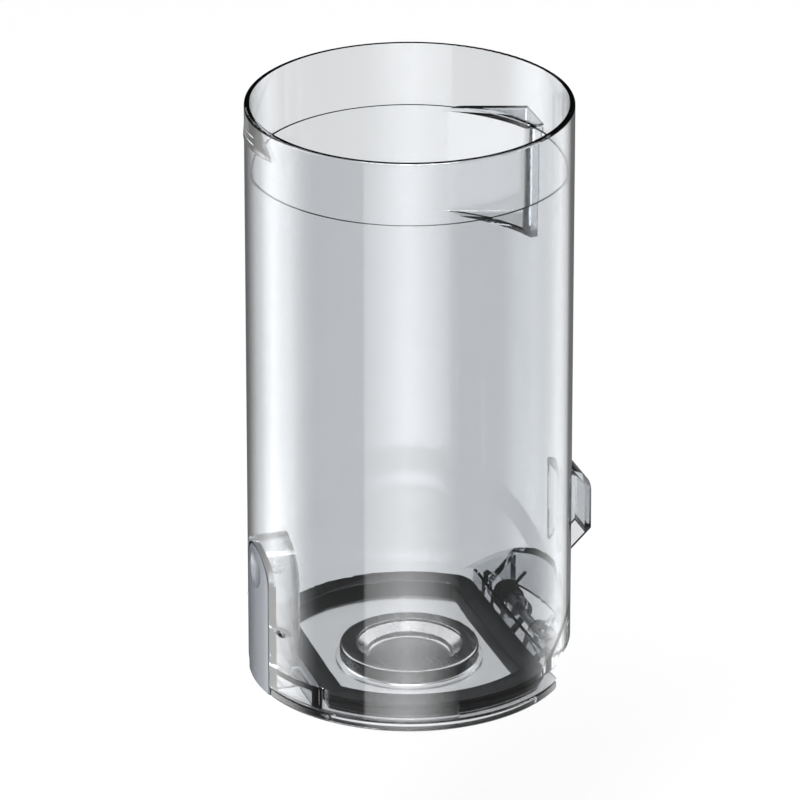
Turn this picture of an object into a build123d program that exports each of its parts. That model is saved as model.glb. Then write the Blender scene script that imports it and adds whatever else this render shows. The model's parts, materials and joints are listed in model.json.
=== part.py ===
from build123d import *
import math
import os

# Clear dust bin of a stick vacuum cleaner, standing on its closed lid.
# Millimetres. Z runs up the bin's axis from the floor, +X is the hinge side, -X the latch button.

# Bin shell
bin_outer_diameter = 104.0
bin_height = 195.0
bin_wall = 2.5
web = 2.0
socket_depth = 21.0
socket_step = 0.8
rim_round = 0.6
lead_in_taper = 1.4
lead_in_height = 6.5

# Catch tab below the rim, above the button
tab_drop = 8.7
tab_reach = 0.9
tab_lead = 0.3
tab_arc = 34.0

# Tangential inlet duct
duct_mouth_inset = 0.3
duct_side_inset = 1.5
duct_angle = 18.0
duct_width = 18.5
duct_top_drop = 20.5
duct_height = 38.5
duct_wall = 2.0
duct_corner = 2.6

# Locking lug, a hood open downwards
lug_reach = 7.6
lug_foot_z = 34.5
lug_lip_z = 42.0
lug_top_z = 63.0
lug_width = 13.0
lug_wall = 1.8

# Pocket of the latch button
pocket_depth = 9.5
pocket_width = 22.6
pocket_top_z = 49.5
sill_top_z = 11.0
latch_flat_setback = 1.5

# Lid
lid_flange = 3.4
lid_inset = 0.5
lid_gap = 0.3
lid_floor = 2.0
lid_floor_top_z = 3.6
lid_setback = 2.0
lid_edge_round = 0.8
upstand_wall = 1.3
upstand_top_z = 8.5
outline_corner = 8.0

# Rubber seal on the upstand
seal_clearance = 0.35
seal_thickness = 2.9
seal_bottom_z = 4.6
seal_cap = 0.9
seal_skirt = 3.0
seal_lip = 1.0
seal_lip_height = 1.2
seal_lip_gap = 0.7
seal_shelf = 1.2

# Rubber cup in the middle of the lid
cup_side_gap = 3.3
cup_height = 3.9
cup_overlap = 2.0
cup_rim = 8.6
cup_slope = 2.2
cup_skin = 5.6
cup_dish = 2.1
cup_fit = 0.2
cup_barb = 0.7
cup_barb_height = 1.1
cup_round = 0.6
cup_mouth_round = 0.6
collar_gap = 1.0
collar_wall = 1.6
collar_depth = 1.2

# Lid hinge
hinge_inset = 11.5
hinge_z = 10.5
hinge_wall_setback = 7.2
hinge_wall_drop = 2.2
hinge_roof_z = 13.5
hinge_roof_slope = 45.0
hinge_edge_gap = 0.5
hinge_pin_diameter = 3.0
ear_radius = 4.2
ear_thickness = 3.5
ear_inner_y = 20.0
knuckle_radius = 3.8
knuckle_width = 7.0
knuckle_foot_setback = 5.5
knuckle_back_angle = 15.0
knuckle_gap = 0.5
pin_fit = 0.02
running_fit = 0.06

# Torsion spring on the hinge
spring_wire = 1.2
spring_length = 9.0
spring_turns = 5
spring_fit = 0.35
spring_side_gap = 0.8
bin_leg_angle = 47.0
bin_leg_length = 10.3
lid_leg_angle = 85.0
spring_gap = 0.3

# Latch button and its pin
latch_pin_inset = 3.0
latch_z = 25.0
latch_pin_diameter = 2.0
latch_pin_length = 30.0
button_clearance = 0.6
button_bottom_z = 0.4
button_thickness = 3.6
button_barrel_radius = 2.6
button_barrel_gap = 0.3
button_round = 0.5
hook_reach = 1.8
hook_height = 1.4
hook_width = 16.0
hook_gap = 0.2
catch_fit = 0.4
catch_side_gap = 1.0
catch_depth = 3.4
dimple_radius = 15.0
dimple_depth = 1.3
dimple_drop = 8.5

# Compression spring behind the button
latch_spring_z = 41.0
latch_spring_wire = 0.6
latch_spring_turns = 4
spigot_radius = 1.9
spigot_length = 1.5
latch_spring_fit = 0.35
latch_spring_end_gap = 0.2

# Derived places
bin_outer_radius = bin_outer_diameter / 2
bin_inner_radius = bin_outer_radius - bin_wall
bin_bottom_z = lid_flange + lid_gap
socket_floor_z = bin_height - socket_depth
beyond = bin_outer_diameter
hinge_x = bin_outer_radius - hinge_inset
hinge_wall_x = hinge_x - hinge_wall_setback
hinge_edge_z = hinge_z + hinge_edge_gap
hinge_wall_low_z = hinge_z - hinge_wall_drop
knuckle_foot_x = hinge_x - knuckle_foot_setback
lid_back_x = hinge_x - lid_setback
lid_radius = bin_outer_radius - lid_inset
pocket_back_x = bin_outer_radius - pocket_depth
pocket_inner_x = pocket_back_x - web
latch_flat_x = pocket_inner_x - latch_flat_setback
pocket_half = pocket_width / 2
pocket_side = pocket_half + web
upstand_inset = seal_clearance + seal_thickness
upstand_inner_inset = upstand_inset + upstand_wall
lid_inner_inset = upstand_inner_inset + seal_skirt
cup_radius = hinge_wall_x - lid_inner_inset - cup_side_gap
cup_hole_radius = cup_radius - cup_overlap
cup_mouth_radius = cup_radius - cup_rim
roof_rise = math.tan(math.radians(hinge_roof_slope))
roof_web = web / math.cos(math.radians(hinge_roof_slope))
latch_x = bin_outer_radius - latch_pin_inset
button_back_x = bin_outer_radius - button_thickness
catch_x = button_back_x - catch_fit
pin_radius = hinge_pin_diameter / 2
latch_pin_radius = latch_pin_diameter / 2


def slab(outline, low_z, high_z):
    """Plan outline raised between two heights."""
    return extrude(Plane.XY.offset(low_z) * outline, amount=high_z - low_z)


def side_prism(outline, low_y, high_y):
    """Outline drawn in X and Z, drawn out between two places along Y."""
    return extrude(Plane.XZ.offset(-high_y) * outline, amount=high_y - low_y)


def front_prism(outline, low_x, high_x):
    """Outline drawn in Y and Z, drawn out between two places along X."""
    return extrude(Plane.YZ.offset(low_x) * outline, amount=high_x - low_x)


def block(low, high):
    """Box between two corners."""
    size = [b - a for a, b in zip(low, high)]
    return Pos(*low) * Box(*size, align=(Align.MIN, Align.MIN, Align.MIN))


def column(radius, low_z, high_z):
    """Upright cylinder on the bin's axis."""
    return slab(Circle(radius), low_z, high_z)


def cross_pin(radius, x, z, low_y, high_y):
    """Cylinder along Y."""
    return side_prism(Pos(x, z) * Circle(radius), low_y, high_y)


def long_pin(radius, y, z, low_x, high_x):
    """Cylinder along X."""
    return front_prism(Pos(y, z) * Circle(radius), low_x, high_x)


def lid_outline(inset):
    """The round opening at the bin's foot with its two flats, set in by a distance."""
    radius = bin_inner_radius - inset
    hinge_flat = hinge_wall_x - inset
    latch_flat = latch_flat_x - inset
    band = Pos((hinge_flat - latch_flat) / 2, 0) * Rectangle(hinge_flat + latch_flat, 2 * radius + web)
    outline = Circle(radius) & band
    return fillet(outline.vertices(), outline_corner - inset)


def arch(half_width, top_z, bottom_z):
    """Upright outline with a half-round top."""
    spring_z = top_z - half_width
    post = Pos(0, (spring_z + bottom_z) / 2) * Rectangle(2 * half_width, spring_z - bottom_z)
    return post + Pos(0, spring_z) * Circle(half_width)


def under_roof(drop):
    """Everything on the hinge side that lies below the sloping pocket roof, lowered by a distance."""
    wall_z = hinge_roof_z - drop
    far_z = wall_z + (beyond - hinge_wall_x) * roof_rise
    near_z = wall_z - hinge_wall_x * roof_rise
    outline = Polygon((0, -beyond), (beyond, -beyond), (beyond, far_z), (0, near_z), align=None)
    return side_prism(outline, -beyond, beyond)


def half_space(sign):
    """Large block on one side of the YZ plane."""
    low_x, high_x = sorted((0, sign * beyond))
    return block((low_x, -beyond, -beyond), (high_x, beyond, bin_height))


def make_catch_tab():
    """Crescent on the rim's outside that runs out at both ends, whose lower face is a ledge."""
    tip = bin_outer_radius + tab_reach
    end_x = bin_outer_radius * math.cos(math.radians(tab_arc / 2))
    end_y = bin_outer_radius * math.sin(math.radians(tab_arc / 2))
    radius = ((tip - end_x) ** 2 + end_y**2) / (2 * (tip - end_x))
    low_z = bin_height - tab_drop
    rim_z = bin_height - rim_round
    section = Polygon(
        (0, low_z), (radius, low_z), (radius - tab_reach + tab_lead, rim_z), (0, rim_z), align=None
    )
    return Pos(radius - tip, 0) * revolve(Plane.XZ * section, Axis.Z)


def lug_profile(reach, top_z, foot_z, lip_z):
    """Side view of the lug: slanted foot, upright face and quarter-round top."""
    root_x = bin_outer_radius - bin_wall
    tip_x = bin_outer_radius + reach
    shoulder_z = top_z - reach
    lines = Polyline(
        (bin_outer_radius, top_z),
        (root_x, top_z),
        (root_x, foot_z),
        (bin_outer_radius, foot_z),
        (tip_x, lip_z),
        (tip_x, shoulder_z),
    )
    crown = RadiusArc((tip_x, shoulder_z), (bin_outer_radius, top_z), -reach)
    return make_face(lines.edges() + crown.edges())


def make_lug():
    """Hood that the cleaner's slider reaches into from below."""
    half = lug_width / 2
    hollow_half = half - lug_wall
    outside = side_prism(lug_profile(lug_reach, lug_top_z, lug_foot_z, lug_lip_z), -half, half)
    reach = lug_reach - lug_wall
    low_z = lug_foot_z - bin_wall
    inside = side_prism(
        lug_profile(reach, lug_top_z - lug_wall, low_z, low_z), -hollow_half, hollow_half
    )
    return outside - (inside - column(bin_outer_radius, 0, bin_height))


def duct_plan(inset, mouth_x):
    """Plan of the duct: its far side meets the shell at a tangent, its near side runs along X."""
    turn = math.radians(duct_angle)
    far = bin_outer_radius - duct_side_inset
    start_x = far * math.sin(turn)
    face_x = bin_outer_radius - duct_mouth_inset
    near_y = (far - face_x * math.sin(turn)) / math.cos(turn) - duct_width + inset
    reach = far - inset
    mouth_y = (reach - mouth_x * math.sin(turn)) / math.cos(turn)
    start_y = (reach - start_x * math.sin(turn)) / math.cos(turn)
    return Polygon(
        (0, near_y), (mouth_x, near_y), (mouth_x, mouth_y), (start_x, start_y), (0, start_y), align=None
    )


def make_duct():
    """Stub that meets the shell at a tangent, with its open channel."""
    top_z = bin_height - duct_top_drop
    low_z = top_z - duct_height
    mouth_x = bin_outer_radius - duct_mouth_inset
    turn = math.radians(duct_angle)
    far_way = Axis((0, 0, 0), (math.cos(turn), -math.sin(turn), 0))
    outside = slab(duct_plan(0, mouth_x), low_z, top_z)
    outside = fillet(outside.edges().filter_by(far_way), duct_corner)
    channel = slab(duct_plan(duct_wall, mouth_x + bin_wall), low_z + duct_wall, top_z - duct_wall)
    channel = fillet(channel.edges().filter_by(far_way), duct_corner - duct_wall)
    return outside, channel


def make_lead_in():
    """Taper inside the bin's foot that guides the seal, and clears it as the lid swings."""
    top_z = bin_bottom_z + lead_in_height
    section = Polygon(
        (0, bin_bottom_z),
        (bin_inner_radius + lead_in_taper, bin_bottom_z),
        (bin_inner_radius, top_z),
        (0, top_z),
        align=None,
    )
    return revolve(Plane.XZ * section, Axis.Z)


def make_bin_body():
    """One clear moulding: shell, duct, lug, catch tab, button pocket and hinge pocket."""
    duct, channel = make_duct()
    body = column(bin_outer_radius, bin_bottom_z, bin_height)
    body = fillet(body.edges().group_by(Axis.Z)[-1], rim_round)
    body = body + duct + make_lug() + make_catch_tab()
    body = body - column(bin_inner_radius, 0, bin_height) - make_lead_in()
    body = body - column(bin_inner_radius + socket_step, socket_floor_z, bin_height)
    body = body - channel

    root = bin_inner_radius + bin_wall / 2
    ring = Circle(root) - lid_outline(0)
    space = Circle(bin_inner_radius) - lid_outline(-web)
    bump = front_prism(arch(pocket_side, pocket_top_z + web, bin_bottom_z), -beyond, -pocket_inner_x)
    bump = bump & column(root, bin_bottom_z, bin_height)
    sill = slab(ring, bin_bottom_z, sill_top_z) & half_space(-1)
    sill_hollow = (slab(space, 0, sill_top_z - web) & half_space(-1)) - bump
    body = body + (sill - sill_hollow) + bump

    hinge_web = slab(ring, hinge_wall_low_z, bin_height) & half_space(1) & under_roof(0)
    hinge_space = slab(space, 0, bin_height) & half_space(1) & under_roof(roof_web)
    body = body + (hinge_web - hinge_space)
    notch_low = (lid_back_x + lid_gap, -beyond, 0)
    body = body - block(notch_low, (beyond, beyond, hinge_edge_z))
    ear_outline = Pos(hinge_x, hinge_z) * Circle(ear_radius)
    ear_outline += Pos(hinge_x, hinge_z + beyond / 2) * Rectangle(2 * ear_radius, beyond)
    trim = column(root, 0, bin_height) & under_roof(roof_web / 2)
    for low_y in (ear_inner_y, -ear_inner_y - ear_thickness):
        body += side_prism(ear_outline, low_y, low_y + ear_thickness) & trim
    body -= cross_pin(pin_radius + pin_fit, hinge_x, hinge_z, -beyond, beyond)

    body -= front_prism(arch(pocket_half, pocket_top_z, 0), -beyond, -pocket_back_x)
    body -= cross_pin(latch_pin_radius + pin_fit, -latch_x, latch_z, -beyond, beyond)
    body += long_pin(spigot_radius, 0, latch_spring_z, -pocket_back_x - spigot_length, -pocket_inner_x)
    return body


def knuckle_places():
    """Low and high Y of the lid's two hinge arms, the second beside the spring."""
    far_low = -ear_inner_y + knuckle_gap
    near_high = ear_inner_y - spring_length - 2 * spring_side_gap
    return [(far_low, far_low + knuckle_width), (near_high - knuckle_width, near_high)]


def make_lid():
    """Clear dish with a flange, an upstand for the seal, hinge arms and a catch ledge."""
    behind = block((lid_back_x, -beyond, -beyond), (beyond, beyond, bin_height))
    flange = column(lid_radius, 0, lid_flange)
    flange = fillet(flange.edges(), lid_edge_round) - behind
    inner = lid_outline(upstand_inner_inset)
    underside_z = lid_floor_top_z - lid_floor
    lid = flange + slab(lid_outline(upstand_inset), 0, upstand_top_z)
    lid += slab(lid_outline(upstand_inset - seal_shelf), 0, seal_bottom_z)
    lid -= slab(inner, lid_floor_top_z, bin_height)
    lid -= slab(inner, -bin_wall, underside_z)
    collar_inner = cup_hole_radius + cup_barb + collar_gap
    collar = Circle(collar_inner + collar_wall) - Circle(collar_inner)
    lid += slab(collar, underside_z - collar_depth, underside_z)
    lid -= column(cup_hole_radius, 0, lid_floor_top_z + web)

    eye = Pos(hinge_x, hinge_z) * Circle(knuckle_radius)
    lean = math.radians(knuckle_back_angle)
    arm = Polygon(
        (knuckle_foot_x, lid_flange / 2),
        (lid_back_x, lid_flange / 2),
        (lid_back_x, lid_flange),
        (hinge_x + knuckle_radius * math.sin(lean), hinge_z - knuckle_radius * math.cos(lean)),
        (hinge_x - knuckle_radius, hinge_z),
        (knuckle_foot_x, lid_flange + lid_edge_round),
        align=None,
    )
    places = knuckle_places()
    for low_y, high_y in places:
        lid += side_prism(eye + arm, low_y, high_y)
    spigot_end = ear_inner_y - knuckle_gap
    lid += cross_pin(spring_inner_radius() - spring_fit, hinge_x, hinge_z, places[1][1], spigot_end)
    lid -= cross_pin(pin_radius + running_fit, hinge_x, hinge_z, -ear_inner_y, ear_inner_y)

    lid -= block((-beyond, -pocket_half, -bin_wall), (-catch_x, pocket_half, bin_bottom_z))
    ledge_z = button_bottom_z + hook_height + hook_gap
    ledge_half = hook_width / 2 + catch_side_gap
    lid -= block((-catch_x, -ledge_half, -bin_wall), (-catch_x + catch_depth, ledge_half, ledge_z))
    return lid


def make_lid_seal():
    """Rubber channel that grips the upstand from both sides, with two soft lips outside."""
    cap_z = upstand_top_z + seal_cap
    lip_low_z = cap_z - 2 * seal_lip_height - seal_lip_gap
    seal = slab(lid_outline(seal_clearance + seal_lip), seal_bottom_z, cap_z)
    for low_z in (lip_low_z, cap_z - seal_lip_height):
        seal += slab(lid_outline(seal_clearance), low_z, low_z + seal_lip_height)
    seal -= slab(lid_outline(upstand_inset), 0, upstand_top_z)
    seal += slab(lid_outline(upstand_inner_inset), lid_floor_top_z, cap_z)
    seal -= slab(lid_outline(lid_inner_inset), 0, bin_height)
    return seal


def make_cone_seal():
    """Rubber cup snapped into the lid's middle hole, whose sloping mouth takes the cone's foot."""
    floor_z = lid_floor_top_z
    under_z = floor_z - lid_floor
    top_z = floor_z + cup_height
    neck = cup_hole_radius - cup_fit
    barb = cup_hole_radius + cup_barb
    low_z = under_z - cup_barb_height
    dish_z = low_z + cup_dish
    section = Polygon(
        (0, low_z),
        (neck - cup_barb, low_z),
        (barb, under_z - cup_barb / 2),
        (barb, under_z),
        (neck, under_z),
        (neck, floor_z),
        (cup_radius, floor_z),
        (cup_radius, top_z),
        (cup_radius - cup_skin, top_z),
        (cup_mouth_radius, top_z - cup_slope),
        (cup_mouth_radius, dish_z),
        (0, dish_z),
        align=None,
    )
    top_corners = section.vertices().group_by(Axis.Y)[-1]
    section = fillet(top_corners, cup_round)
    mouth_corner = section.vertices().sort_by_distance((cup_mouth_radius, top_z - cup_slope))[0]
    section = fillet(mouth_corner, cup_mouth_round)
    return revolve(Plane.XZ * section, Axis.Z)


def spring_inner_radius():
    """Inside of the torsion spring, which also sets the lid's spigot."""
    return knuckle_radius - spring_wire / 2


def make_hinge_spring():
    """Torsion spring: its near leg bears up on the pocket roof, the other down on the lid."""
    half = spring_wire / 2
    high_y = ear_inner_y - spring_side_gap - half
    low_y = high_y - spring_length + spring_wire
    start_angle = 90 + lid_leg_angle
    end_angle = 90 + bin_leg_angle
    turns = spring_turns + (start_angle - end_angle) / 360
    begin = Vector(math.cos(math.radians(start_angle)), 0, math.sin(math.radians(start_angle)))
    frame = Plane(origin=(hinge_x, low_y, hinge_z), x_dir=begin, z_dir=(0, 1, 0))
    rise = high_y - low_y
    coil = frame * Helix(rise / turns, rise, spring_inner_radius() + half)
    foot, foot_way = coil @ 0, coil % 0
    head, head_way = coil @ 1, coil % 1

    lid_drop = foot.Z - lid_flange - half - spring_gap
    lid_leg = Line(foot - foot_way * (lid_drop / foot_way.Z), foot)
    bin_leg = Line(head, head + head_way * bin_leg_length)
    route = Wire([lid_leg.edge(), coil.edge(), bin_leg.edge()])
    spring = sweep(Plane(origin=route @ 0, z_dir=route % 0) * Circle(half), path=route, is_frenet=True)
    return mirror(spring, Plane.XZ.offset(-(low_y + high_y) / 2))


def make_latch_button():
    """Rocker flush with the shell, with a barrel for its pin and a hook for the lid."""
    half = pocket_half - button_clearance
    top_z = pocket_top_z - button_clearance
    shell = column(bin_outer_radius, 0, bin_height)
    button = front_prism(arch(half, top_z, button_bottom_z), -beyond, -button_back_x) & shell
    button = fillet(button.edges().group_by(Axis.X)[0], button_round)
    barrel_half = half - button_barrel_gap
    button += cross_pin(button_barrel_radius, -latch_x, latch_z, -barrel_half, barrel_half) & shell
    hook_low = (-button_back_x, -hook_width / 2, button_bottom_z)
    hook_high = (-catch_x + hook_reach, hook_width / 2, button_bottom_z + hook_height)
    button += block(hook_low, hook_high)
    button += long_pin(spigot_radius, 0, latch_spring_z, -button_back_x, -button_back_x + spigot_length)
    button -= cross_pin(latch_pin_radius + running_fit, -latch_x, latch_z, -beyond, beyond)
    dimple_x = -bin_outer_radius - dimple_radius + dimple_depth
    button -= Pos(dimple_x, 0, top_z - dimple_drop) * Sphere(dimple_radius)
    return button


def make_latch_spring():
    """Compression spring between the pocket's back wall and the button."""
    half = latch_spring_wire / 2
    end = half + latch_spring_end_gap
    low_x = -button_back_x + end
    length = button_back_x - pocket_back_x - 2 * end
    radius = spigot_radius + latch_spring_fit + half
    frame = Plane(origin=(low_x, 0, latch_spring_z), x_dir=(0, 0, 1), z_dir=(1, 0, 0))
    line = frame * Helix(length / latch_spring_turns, length, radius)
    return sweep(Plane(origin=line @ 0, z_dir=line % 0) * Circle(half), path=line, is_frenet=True)


def make_hinge_pin():
    """Steel pin through the ears and the lid's arms."""
    reach = ear_inner_y + ear_thickness
    return cross_pin(pin_radius, hinge_x, hinge_z, -reach, reach)


def make_latch_pin():
    """Steel pin pressed through the shell on both sides of the button."""
    reach = latch_pin_length / 2
    return cross_pin(latch_pin_radius, -latch_x, latch_z, -reach, reach)


pieces = {
    "bin_body": make_bin_body(),
    "lid": make_lid(),
    "lid_seal": make_lid_seal(),
    "cone_seal": make_cone_seal(),
    "hinge_pin": make_hinge_pin(),
    "hinge_spring": make_hinge_spring(),
    "latch_button": make_latch_button(),
    "latch_pin": make_latch_pin(),
    "latch_spring": make_latch_spring(),
}

os.makedirs("parts", exist_ok=True)
for name, piece in pieces.items():
    export_step(piece, f"parts/{name}.step")
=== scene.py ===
import json
import math

import bpy
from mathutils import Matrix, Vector


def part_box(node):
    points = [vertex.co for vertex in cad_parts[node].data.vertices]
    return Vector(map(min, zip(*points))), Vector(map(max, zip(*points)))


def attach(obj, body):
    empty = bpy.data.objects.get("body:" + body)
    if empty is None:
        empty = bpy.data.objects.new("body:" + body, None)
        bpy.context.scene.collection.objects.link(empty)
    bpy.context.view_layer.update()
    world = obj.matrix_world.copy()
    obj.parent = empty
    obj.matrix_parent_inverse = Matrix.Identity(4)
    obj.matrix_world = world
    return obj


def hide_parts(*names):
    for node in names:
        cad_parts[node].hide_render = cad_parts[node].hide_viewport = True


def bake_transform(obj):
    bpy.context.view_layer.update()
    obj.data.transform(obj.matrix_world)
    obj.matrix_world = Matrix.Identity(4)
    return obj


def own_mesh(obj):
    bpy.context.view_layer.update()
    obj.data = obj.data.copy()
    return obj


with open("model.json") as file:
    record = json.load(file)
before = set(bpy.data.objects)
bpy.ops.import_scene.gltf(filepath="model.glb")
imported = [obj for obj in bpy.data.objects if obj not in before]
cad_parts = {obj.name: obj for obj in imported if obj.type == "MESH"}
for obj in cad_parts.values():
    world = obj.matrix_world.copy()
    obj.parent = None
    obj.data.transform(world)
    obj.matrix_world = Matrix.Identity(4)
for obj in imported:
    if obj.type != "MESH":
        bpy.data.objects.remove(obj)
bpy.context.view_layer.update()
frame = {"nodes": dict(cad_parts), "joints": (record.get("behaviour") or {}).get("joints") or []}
nodes = frame["nodes"]
scene = bpy.context.scene
scene.view_settings.view_transform = "Standard"


# Bin body: the tall round shell with its inlet duct, lug, button pocket and hinge pocket.
# One injection moulding in clear styrene plastic, faintly smoky, polished inside and out.
# Its finish is glass-like, with moulding flow, fine wiping scratches and a little haze.
def blank_material(name):
    """Node material that holds its output alone."""
    material = bpy.data.materials.new(name)
    material.use_nodes = True
    tree = material.node_tree
    tree.nodes.clear()
    return material, tree, tree.nodes.new("ShaderNodeOutputMaterial")


def shaded_material(name):
    """Node material with a Principled shader on its output."""
    material, tree, output = blank_material(name)
    shader = tree.nodes.new("ShaderNodeBsdfPrincipled")
    tree.links.new(shader.outputs["BSDF"], output.inputs["Surface"])
    return material, tree, shader, output


def math_node(tree, operation, *terms):
    """Math node on plain numbers and other nodes' sockets; gives its result back."""
    node = tree.nodes.new("ShaderNodeMath")
    node.operation = operation
    for socket, term in zip(node.inputs, terms):
        if isinstance(term, float):
            socket.default_value = term
        else:
            tree.links.new(term, socket)
    return node.outputs["Value"]


def range_node(tree, value, low, high, low_level, high_level):
    """Map Range node that leads from one level to another between two values; gives its result back."""
    node = tree.nodes.new("ShaderNodeMapRange")
    tree.links.new(value, node.inputs["Value"])
    node.inputs["From Min"].default_value = low
    node.inputs["From Max"].default_value = high
    node.inputs["To Min"].default_value = low_level
    node.inputs["To Max"].default_value = high_level
    return node.outputs["Result"]


def handling_marks_group():
    """Roughness and height of a handled surface: broad smudges and fine scratches that cross."""
    scratch_turns = ((0.3, 0.1, 0.5), (1.2, 0.7, -0.4))
    scratch_stretch = (1.0, 0.06, 1.0)
    scratch_low, scratch_high = 0.62, 0.8
    group = bpy.data.node_groups.new("handling_marks", "ShaderNodeTree")
    for label, value in (
        ("Roughness", 0.2),
        ("Spread", 0.1),
        ("Smudge Scale", 40.0),
        ("Scratch Scale", 300.0),
    ):
        socket = group.interface.new_socket(label, in_out="INPUT", socket_type="NodeSocketFloat")
        socket.default_value = value
    for label in ("Roughness", "Height", "Smudge"):
        group.interface.new_socket(label, in_out="OUTPUT", socket_type="NodeSocketFloat")
    add = group.nodes.new
    link = group.links.new
    inward = add("NodeGroupInput")
    outward = add("NodeGroupOutput")
    place = add("ShaderNodeTexCoord")
    smudge = add("ShaderNodeTexNoise")
    smudge.inputs["Detail"].default_value = 4.0
    link(place.outputs["Object"], smudge.inputs["Vector"])
    link(inward.outputs["Smudge Scale"], smudge.inputs["Scale"])
    scratches = []
    for turn in scratch_turns:
        stretch = add("ShaderNodeMapping")
        stretch.inputs["Rotation"].default_value = turn
        stretch.inputs["Scale"].default_value = scratch_stretch
        scratch = add("ShaderNodeTexNoise")
        scratch.inputs["Detail"].default_value = 2.0
        link(place.outputs["Object"], stretch.inputs["Vector"])
        link(stretch.outputs["Vector"], scratch.inputs["Vector"])
        link(inward.outputs["Scratch Scale"], scratch.inputs["Scale"])
        scratches.append(range_node(group, scratch.outputs["Fac"], scratch_low, scratch_high, 0.0, 1.0))
    crossed = math_node(group, "MAXIMUM", *scratches)
    centred = math_node(group, "SUBTRACT", smudge.outputs["Fac"], 0.5)
    marks = math_node(group, "ADD", centred, crossed)
    worn = math_node(group, "MULTIPLY_ADD", marks, inward.outputs["Spread"], inward.outputs["Roughness"])
    worn.node.use_clamp = True
    link(worn, outward.inputs["Roughness"])
    link(crossed, outward.inputs["Height"])
    link(smudge.outputs["Fac"], outward.inputs["Smudge"])
    return group


handling_marks = handling_marks_group()


def add_marks(tree, shader, roughness, spread, smudge_scale, scratch_scale, depth):
    """Puts the handling marks into a material's roughness and normal; gives the smudges' mask back."""
    marks = tree.nodes.new("ShaderNodeGroup")
    marks.node_tree = handling_marks
    marks.inputs["Roughness"].default_value = roughness
    marks.inputs["Spread"].default_value = spread
    marks.inputs["Smudge Scale"].default_value = smudge_scale
    marks.inputs["Scratch Scale"].default_value = scratch_scale
    bump = tree.nodes.new("ShaderNodeBump")
    bump.inputs["Distance"].default_value = depth
    tree.links.new(marks.outputs["Roughness"], shader.inputs["Roughness"])
    tree.links.new(marks.outputs["Height"], bump.inputs["Height"])
    tree.links.new(bump.outputs["Normal"], shader.inputs["Normal"])
    return marks.outputs["Smudge"]


def two_tone(tree, shader, mask, first, second):
    """Mixes two near colours by a mask into the base colour."""
    mix = tree.nodes.new("ShaderNodeMix")
    mix.data_type = "RGBA"
    mix.inputs["A"].default_value = (*first, 1.0)
    mix.inputs["B"].default_value = (*second, 1.0)
    tree.links.new(mask, mix.inputs["Factor"])
    tree.links.new(mix.outputs["Result"], shader.inputs["Base Color"])


def clear_plastic(name, first, second, roughness, absorb_colour, absorb_density):
    """Polished clear moulding that takes more light the further the light runs in it."""
    material, tree, shader, output = shaded_material(name)
    shader.inputs["Transmission Weight"].default_value = 1.0
    shader.inputs["IOR"].default_value = 1.5
    smudge = add_marks(
        tree, shader, roughness, spread=0.03, smudge_scale=18.0, scratch_scale=260.0, depth=0.000004
    )
    two_tone(tree, shader, smudge, first, second)
    absorb = tree.nodes.new("ShaderNodeVolumeAbsorption")
    absorb.inputs["Color"].default_value = (*absorb_colour, 1.0)
    absorb.inputs["Density"].default_value = absorb_density
    tree.links.new(absorb.outputs["Volume"], output.inputs["Volume"])
    return material


def coat(piece, material):
    """Gives a piece one finish all over."""
    piece.data.materials.clear()
    piece.data.materials.append(material)


bin_plastic = clear_plastic(
    "bin_plastic",
    first=(0.81, 0.821, 0.833),
    second=(0.786, 0.798, 0.81),
    roughness=0.012,
    absorb_colour=(0.5, 0.54, 0.58),
    absorb_density=60.0,
)
coat(nodes["bin_body"], bin_plastic)

# Lid: the D-shaped dish at the bottom that swings down to empty the bin.
# One moulding in the same clear plastic, a little duller because its floor is rubbed by dust.
lid_plastic = clear_plastic(
    "lid_plastic",
    first=(0.90, 0.907, 0.915),
    second=(0.87, 0.878, 0.886),
    roughness=0.15,
    absorb_colour=(0.5, 0.54, 0.57),
    absorb_density=40.0,
)
coat(nodes["lid"], lid_plastic)


# Lid seal: the band of black rubber that grips the lid's upstand and closes the bin's foot.
# A moulded channel with two lips outside; its edges are soft, so the solid's edges are rounded here.
def matt_black(name, roughness, specular):
    """Black rubber or blackened steel, with a dusty bloom."""
    material, tree, shader, _ = shaded_material(name)
    shader.inputs["Specular IOR Level"].default_value = specular
    smudge = add_marks(
        tree, shader, roughness, spread=0.14, smudge_scale=60.0, scratch_scale=400.0, depth=0.00002
    )
    two_tone(tree, shader, smudge, first=(0.0045, 0.0045, 0.005), second=(0.010, 0.010, 0.011))
    return material


def finish_piece(piece, material, node_name, smooth_degrees):
    """Bakes a modelled piece's place into its mesh, smooths its shading, gives it its finish, and hides
    the solid that it stands for.
    """
    bpy.ops.object.mode_set(mode="OBJECT")
    bpy.ops.object.transform_apply(location=True, rotation=True, scale=True)
    bpy.ops.object.shade_smooth_by_angle(angle=math.radians(smooth_degrees))
    coat(piece, material)
    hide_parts(node_name)


merge_gap = 0.000002
flat_degrees = 1.0
band_round = 0.00045
sharp_degrees = 40.0
bpy.ops.object.select_all(action="DESELECT")
band = bpy.data.objects.new("seal_band", nodes["lid_seal"].data.copy())
band.matrix_world = nodes["lid_seal"].matrix_world.copy()
scene.collection.objects.link(band)
bpy.context.view_layer.objects.active = band
band.select_set(True)
bpy.ops.object.mode_set(mode="EDIT")
bpy.ops.mesh.select_all(action="SELECT")
bpy.ops.mesh.remove_doubles(threshold=merge_gap)
bpy.ops.mesh.dissolve_limited(angle_limit=math.radians(flat_degrees))
bpy.ops.mesh.normals_make_consistent(inside=False)
bpy.ops.object.mode_set(mode="OBJECT")
rounding = band.modifiers.new("rounding", "BEVEL")
rounding.width = band_round
rounding.segments = 3
rounding.limit_method = "ANGLE"
rounding.angle_limit = math.radians(sharp_degrees)
bpy.ops.object.modifier_apply(modifier="rounding")
band_rubber = matt_black("band_rubber", roughness=0.42, specular=0.3)
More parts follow.
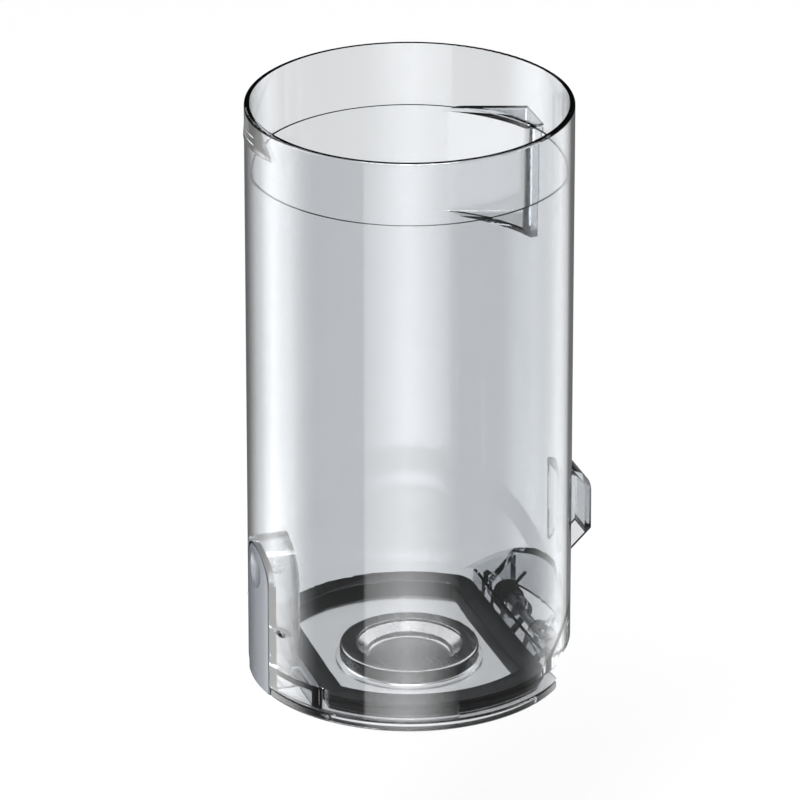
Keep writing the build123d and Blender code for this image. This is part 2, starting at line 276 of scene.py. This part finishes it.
finish_piece(band, band_rubber, "lid_seal", smooth_degrees=35.0)
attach(band, "lid")


# Cone seal: the black rubber cup snapped into the lid's middle hole, and held there by its barb.
# A turned shape, drawn out ring by ring from a disk: the barb under the lid, a neck, a flat ring
# with soft edges, and a slope that leads down into the dish.
def arc(centre_r, centre_z, radius, first, last, count):
    """Points of a rounded corner in a turned profile."""
    angles = [math.radians(first + (last - first) * i / count) for i in range(count + 1)]
    return [(centre_r + radius * math.cos(a), centre_z + radius * math.sin(a)) for a in angles]


cup_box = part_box("cone_seal")
cup_radius = cup_box[1][0]
cup_low = cup_box[0][2]
cup_top = cup_box[1][2]
lid_floor_top = cup_low + 0.0031
lid_under = cup_low + 0.0011
dish = cup_low + 0.0021
mouth = cup_radius - 0.0086
hole = cup_radius - 0.0020
barb = 0.0007
neck_gap = 0.0002
rim_round = 0.0008
ring_width = 0.0052
ring_round = 0.00025
lip_drop = 0.00343
lip_round = 0.0004
dish_round = 0.0010
profile = [
    (hole - neck_gap - barb, cup_low),
    (hole + barb, lid_under - barb / 2),
    (hole + barb, lid_under),
    (hole - neck_gap, lid_under),
    (hole - neck_gap, lid_floor_top),
    (cup_radius, lid_floor_top),
]
profile += arc(cup_radius - rim_round, cup_top - rim_round, rim_round, 0, 90, 5)
profile += arc(cup_radius - ring_width, cup_top - ring_round, ring_round, 90, 160, 4)
slope_head = (cup_radius - 0.00555, cup_top - 0.00085)
slope_foot = (mouth + 0.00015, cup_top - 0.00312)
for share in (0.0, 0.04, 0.96):
    profile += [tuple(h + (f - h) * share for h, f in zip(slope_head, slope_foot))]
profile += arc(mouth + lip_round, cup_top - lip_drop, lip_round, 128, 180, 4)
profile += arc(mouth - dish_round, dish + dish_round, dish_round, 0, -90, 5)
bpy.ops.object.select_all(action="DESELECT")
bpy.ops.mesh.primitive_circle_add(
    vertices=128, radius=profile[0][0], fill_type="NGON", location=(0, 0, profile[0][1])
)
cup = bpy.context.object
cup.name = "cone_cup"
bpy.ops.object.mode_set(mode="EDIT")
bpy.ops.mesh.select_all(action="SELECT")
for (near_r, near_z), (far_r, far_z) in zip(profile, profile[1:]):
    bpy.ops.mesh.extrude_region_move(TRANSFORM_OT_translate={"value": (0, 0, far_z - near_z)})
    ratio = far_r / near_r
    bpy.ops.transform.resize(value=(ratio, ratio, 1.0), center_override=(0, 0, 0))
bpy.ops.mesh.select_all(action="SELECT")
bpy.ops.mesh.remove_doubles(threshold=merge_gap)
bpy.ops.mesh.normals_make_consistent(inside=False)
cup_rubber = matt_black("cup_rubber", roughness=0.25, specular=0.5)
finish_piece(cup, cup_rubber, "cone_seal", smooth_degrees=35.0)
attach(cup, "lid")


# Pins: the pin that the lid hangs on and the pin that the button rocks on.
# Ground steel, pressed into the bin's ears and pocket.
def steel(name, first, second, roughness):
    """Drawn or ground steel."""
    material, tree, shader, _ = shaded_material(name)
    shader.inputs["Metallic"].default_value = 1.0
    smudge = add_marks(
        tree, shader, roughness, spread=0.12, smudge_scale=200.0, scratch_scale=900.0, depth=0.00001
    )
    two_tone(tree, shader, smudge, first, second)
    return material


pin_steel = steel("pin_steel", first=(0.60, 0.60, 0.61), second=(0.68, 0.68, 0.69), roughness=0.4)
for pin_name in ("hinge_pin", "latch_pin"):
    coat(nodes[pin_name], pin_steel)


# Hinge spring: the black torsion spring that throws the lid open.
# Round wire wound on the hinge, its near leg under the pocket roof and its far leg on the lid.
wire_sides = 16
steps_per_turn = 36


def wind(name, wire, radius, turns, length):
    """Round wire wound about Y, from Y 0 to its length; the first ring of points is its start."""
    bpy.ops.object.select_all(action="DESELECT")
    bpy.ops.mesh.primitive_circle_add(vertices=wire_sides, radius=wire / 2)
    coil = bpy.context.object
    coil.name = name
    bpy.ops.object.mode_set(mode="EDIT")
    bpy.ops.mesh.select_all(action="SELECT")
    bpy.ops.transform.translate(value=(radius, 0, 0))
    bpy.ops.object.mode_set(mode="OBJECT")
    winding = coil.modifiers.new("winding", "SCREW")
    winding.axis = "Y"
    winding.angle = -2 * math.pi * turns
    winding.screw_offset = length
    winding.steps = round(steps_per_turn * turns)
    winding.render_steps = winding.steps
    bpy.ops.object.modifier_apply(modifier="winding")
    return coil


def draw_leg(coil, ring, way):
    """Draws the wire straight out from one end ring and closes it."""
    bpy.ops.object.mode_set(mode="OBJECT")
    for group in (coil.data.vertices, coil.data.edges, coil.data.polygons):
        group.foreach_set("select", [False] * len(group))
    for index in ring:
        coil.data.vertices[index].select = True
    bpy.ops.object.mode_set(mode="EDIT")
    bpy.ops.mesh.select_mode(type="VERT")
    bpy.ops.mesh.extrude_region_move(TRANSFORM_OT_translate={"value": way})
    bpy.ops.mesh.edge_face_add()


hinge = [joint for joint in frame["joints"] if joint["name"] == "lid_hinge"][0]
hinge_x, hinge_z = hinge["pos_m"][0], hinge["pos_m"][2]
near_y, far_y = 0.0108, 0.0186
wire, coil_radius = 0.0012, 0.0038
bin_angle, lid_angle = 137.0, 175.0
bin_leg, lid_leg = 0.0103, 0.0066
whole_turns = 5
turns = whole_turns + (lid_angle - bin_angle) / 360
spring = wind("torsion_spring", wire, coil_radius, turns, far_y - near_y)
spring.location = (hinge_x, near_y, hinge_z)
spring.rotation_euler = (0, -math.radians(bin_angle), 0)
bpy.ops.object.transform_apply(location=True, rotation=True, scale=True)
lean = (far_y - near_y) / turns / (2 * math.pi * coil_radius)
count = len(spring.data.vertices)
for ring, angle, length, side in (
    (range(wire_sides), bin_angle, bin_leg, -1),
    (range(count - wire_sides, count), lid_angle, lid_leg, 1),
):
    turn = math.radians(angle)
    way = Vector((-math.sin(turn), lean, math.cos(turn))).normalized() * (length * side)
    draw_leg(spring, ring, way)
bpy.ops.mesh.select_all(action="SELECT")
bpy.ops.mesh.normals_make_consistent(inside=False)
black_steel = matt_black("black_steel", roughness=0.42, specular=0.2)
finish_piece(spring, black_steel, "hinge_spring", smooth_degrees=40.0)
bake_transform(spring)

# Latch spring: the small bright compression spring behind the button's top, on two spigots.
# Drawn steel wire.
latch_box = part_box("latch_spring")
small_wire = 0.0006
small_turns = 4
small_radius = (latch_box[1][1] - latch_box[0][1] - small_wire) / 2
small_low, small_high = latch_box[0][0] + small_wire / 2, latch_box[1][0] - small_wire / 2
small_z = (latch_box[0][2] + latch_box[1][2]) / 2
small = wind("button_spring", small_wire, small_radius, small_turns, small_high - small_low)
bpy.ops.object.mode_set(mode="EDIT")
bpy.ops.mesh.select_all(action="SELECT")
bpy.ops.mesh.fill_holes(sides=0)
bpy.ops.mesh.normals_make_consistent(inside=False)
bpy.ops.object.mode_set(mode="OBJECT")
small.location = (small_low, 0, small_z)
small.rotation_euler = (0, 0, -math.pi / 2)
bright_steel = steel("bright_steel", first=(0.52, 0.52, 0.53), second=(0.60, 0.60, 0.61), roughness=0.26)
finish_piece(small, bright_steel, "latch_spring", smooth_degrees=40.0)
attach(small, "bin")
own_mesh(small)

# Latch button: the rocker that holds the lid shut, on its pin in the arched pocket.
# An opaque moulding in blue-grey plastic, with a satin gloss that fingers have dulled a little.
button_plastic, tree, shader, _ = shaded_material("button_plastic")
shader.inputs["Specular IOR Level"].default_value = 0.7
smudge = add_marks(
    tree, shader, roughness=0.13, spread=0.1, smudge_scale=90.0, scratch_scale=420.0, depth=0.00001
)
two_tone(tree, shader, smudge, first=(0.085, 0.106, 0.14), second=(0.10, 0.122, 0.158))
coat(nodes["latch_button"], button_plastic)


# Floor: a wide pale sheet that carries the object's soft shadow, far enough down for the lid to open.
# Light that the bin has mirrored passes through it, to the reflector wall below, and so does a look
# from below.
def mirrored_light(tree, rays):
    """One for light that a glossy face has mirrored on its way, and nought for the rest."""
    return math_node(tree, "GREATER_THAN", rays.outputs["Glossy Depth"], 0.5)


def mix_shader(tree, mask, first, second):
    """Mix Shader node; gives its shader back."""
    mix = tree.nodes.new("ShaderNodeMixShader")
    for socket, part in zip(mix.inputs, (mask, first, second)):
        tree.links.new(part, socket)
    return mix.outputs["Shader"]


floor_drop = 0.092
floor_size = 12.0
glow_share = 0.75
bpy.ops.object.select_all(action="DESELECT")
bpy.ops.mesh.primitive_plane_add(size=floor_size, location=(0, 0, -floor_drop))
floor = bpy.context.object
floor.name = "floor"
paper, tree, output = blank_material("floor_paper")
diffuse = tree.nodes.new("ShaderNodeBsdfDiffuse")
diffuse.inputs["Color"].default_value = (0.9, 0.9, 0.9, 1.0)
glow = tree.nodes.new("ShaderNodeEmission")
glow.inputs["Color"].default_value = (1, 1, 1, 1)
glow.inputs["Strength"].default_value = 1.1
passed = tree.nodes.new("ShaderNodeBsdfTransparent")
rays = tree.nodes.new("ShaderNodeLightPath")
faces = tree.nodes.new("ShaderNodeNewGeometry")
seen = math_node(tree, "MAXIMUM", rays.outputs["Is Camera Ray"], rays.outputs["Is Transmission Ray"])
whitened = math_node(tree, "MULTIPLY", seen, glow_share)
sheet = mix_shader(tree, whitened, diffuse.outputs["BSDF"], glow.outputs["Emission"])
unseen = math_node(tree, "MAXIMUM", mirrored_light(tree, rays), faces.outputs["Backfacing"])
tree.links.new(mix_shader(tree, unseen, sheet, passed.outputs["BSDF"]), output.inputs["Surface"])
coat(floor, paper)

# Studio: a pale room all round for what the eye, gloss and clear plastic see.
# It is softer where it lights the pieces, and brighter where the bin mirrors it.
soft_level, seen_level, mirrored_extra = 0.6, 1.0, 1.5
world = bpy.data.worlds.new("studio")
world.use_nodes = True
scene.world = world
tree = world.node_tree
tree.nodes.clear()
output = tree.nodes.new("ShaderNodeOutputWorld")
rays = tree.nodes.new("ShaderNodeLightPath")
seen = math_node(tree, "MAXIMUM", rays.outputs["Is Camera Ray"], rays.outputs["Is Glossy Ray"])
seen = math_node(tree, "MAXIMUM", seen, rays.outputs["Is Transmission Ray"])
strength = range_node(tree, seen, 0.0, 1.0, soft_level, seen_level)
strength = math_node(tree, "MULTIPLY_ADD", mirrored_light(tree, rays), mirrored_extra, strength)
sky = tree.nodes.new("ShaderNodeBackground")
tree.links.new(strength, sky.inputs["Strength"])
tree.links.new(sky.outputs["Background"], output.inputs["Surface"])

# Reflector wall: a round screen that only mirrored light sees, dark with three soft bright panels.
# It draws the upright bright bands on the shell, and reaches far below the floor, because that is
# where a shell seen from above mirrors to.
camera_azimuth = -18.0
screen_radius = 1.3
screen_height = 9.0
screen_top = 0.9
bpy.ops.object.select_all(action="DESELECT")
bpy.ops.mesh.primitive_cylinder_add(
    vertices=128,
    radius=screen_radius,
    depth=screen_height,
    end_fill_type="NOTHING",
    location=(0, 0, screen_top - screen_height / 2),
)
bpy.ops.object.transform_apply(location=True, rotation=True, scale=True)
screen = bpy.context.object
screen.name = "reflector_wall"
screen.visible_camera = False
screen.visible_diffuse = False
screen.visible_shadow = False
panels, tree, output = blank_material("reflector_panels")
place = tree.nodes.new("ShaderNodeTexCoord")
turned = tree.nodes.new("ShaderNodeMapping")
turned.inputs["Rotation"].default_value = (0, 0, math.radians(90.0 - camera_azimuth))
sweep = tree.nodes.new("ShaderNodeTexGradient")
sweep.gradient_type = "RADIAL"
bands = tree.nodes.new("ShaderNodeValToRGB")
ramp = bands.color_ramp
dark = 0.045
stops = (
    (0.0, dark),
    (0.06, dark),
    (0.090, 0.10),
    (0.144, 0.31),
    (0.194, 0.90),
    (0.244, 0.76),
    (0.283, 0.20),
    (0.307, dark),
    (0.410, dark),
    (0.414, 0.42),
    (0.494, 0.93),
    (0.532, 0.66),
    (0.564, 0.32),
    (0.597, dark),
    (0.745, dark),
    (0.770, 0.12),
    (0.806, 0.29),
    (0.857, 0.52),
    (0.889, 0.32),
    (0.922, 0.06),
    (0.945, dark),
)
while len(ramp.elements) < len(stops):
    ramp.elements.new(0.5)
for element, (at, level) in zip(ramp.elements, stops):
    element.position = at
    element.color = (level, level, level, 1.0)
shine = tree.nodes.new("ShaderNodeEmission")
tree.links.new(place.outputs["Object"], turned.inputs["Vector"])
tree.links.new(turned.outputs["Vector"], sweep.inputs["Vector"])
tree.links.new(sweep.outputs["Fac"], bands.inputs["Fac"])
tree.links.new(bands.outputs["Color"], shine.inputs["Color"])
apart = tree.nodes.new("ShaderNodeSeparateXYZ")
tree.links.new(place.outputs["Object"], apart.inputs["Vector"])
strength = 1.0
for low_z, high_z, low_level, high_level in (
    (-3.0, -0.9, 0.25, 1.0),
    (-0.60, -0.48, 5.4, 4.0),
    (-0.15, 0.0, 1.0, 0.1),
):
    height = range_node(tree, apart.outputs["Z"], low_z, high_z, low_level, high_level)
    strength = math_node(tree, "MULTIPLY", height, strength)
tree.links.new(strength, shine.inputs["Strength"])
passed = tree.nodes.new("ShaderNodeBsdfTransparent")
rays = tree.nodes.new("ShaderNodeLightPath")
wall = mix_shader(tree, mirrored_light(tree, rays), passed.outputs["BSDF"], shine.outputs["Emission"])
tree.links.new(wall, output.inputs["Surface"])
coat(screen, panels)

# Lamps: a large soft light over the left shoulder and a low fill from the right, which gloss
# doesn't see, a wide one high up for gloss, and two behind that only the rubber cup's gloss sees.
lamp_aim = Vector((0, 0, 0.1))
cup_alone = bpy.data.collections.new("cup_alone")
cup_alone.objects.link(cup)
for lamp_name, place, width, power, gloss_only, linked in (
    ("key_light", (-0.9, -1.0, 1.5), 1.4, 26.0, False, None),
    ("fill_light", (1.2, -0.8, 0.7), 1.0, 8.0, False, None),
    ("top_light", (-0.093, -0.285, 1.5), 1.0, 60.0, True, None),
    ("left_light", (-0.68, 0.74, 1.11), 1.9, 125.0, True, cup_alone),
    ("right_light", (0.98, 0.20, 1.11), 1.9, 125.0, True, cup_alone),
):
    lamp = bpy.data.lights.new(lamp_name, "AREA")
    lamp.shape = "DISK"
    lamp.size = width
    lamp.energy = power
    holder = bpy.data.objects.new(lamp_name, lamp)
    holder.location = place
    holder.rotation_euler = (Vector(place) - lamp_aim).to_track_quat("Z", "Y").to_euler()
    holder.visible_camera = False
    holder.visible_transmission = False
    holder.visible_glossy = gloss_only
    holder.visible_diffuse = not gloss_only
    holder.light_linking.receiver_collection = linked
    holder.light_linking.blocker_collection = linked
    scene.collection.objects.link(holder)

# Camera: looks down on the bin from its button side, with a long lens.
# The bin stands upright in the frame, a little right of the aim.
camera_elevation = 24.1
camera_distance = 2.4
picture_width = 0.2551
aim_height = 0.0926
aim_left = 0.0030
azimuth = math.radians(camera_azimuth)
elevation = math.radians(camera_elevation)
level_reach = math.cos(elevation)
back = Vector((math.sin(azimuth) * level_reach, -math.cos(azimuth) * level_reach, math.sin(elevation)))
right = Vector((math.cos(azimuth), math.sin(azimuth), 0.0))
aim = Vector((0.0, 0.0, aim_height)) - right * aim_left
lens = bpy.data.cameras.new("camera")
lens.sensor_width = 36.0
lens.lens = lens.sensor_width * camera_distance / picture_width
lens.clip_end = 50.0
camera = bpy.data.objects.new("camera", lens)
camera.location = aim + back * camera_distance
camera.rotation_euler = back.to_track_quat("Z", "Y").to_euler()
scene.collection.objects.link(camera)
scene.camera = camera
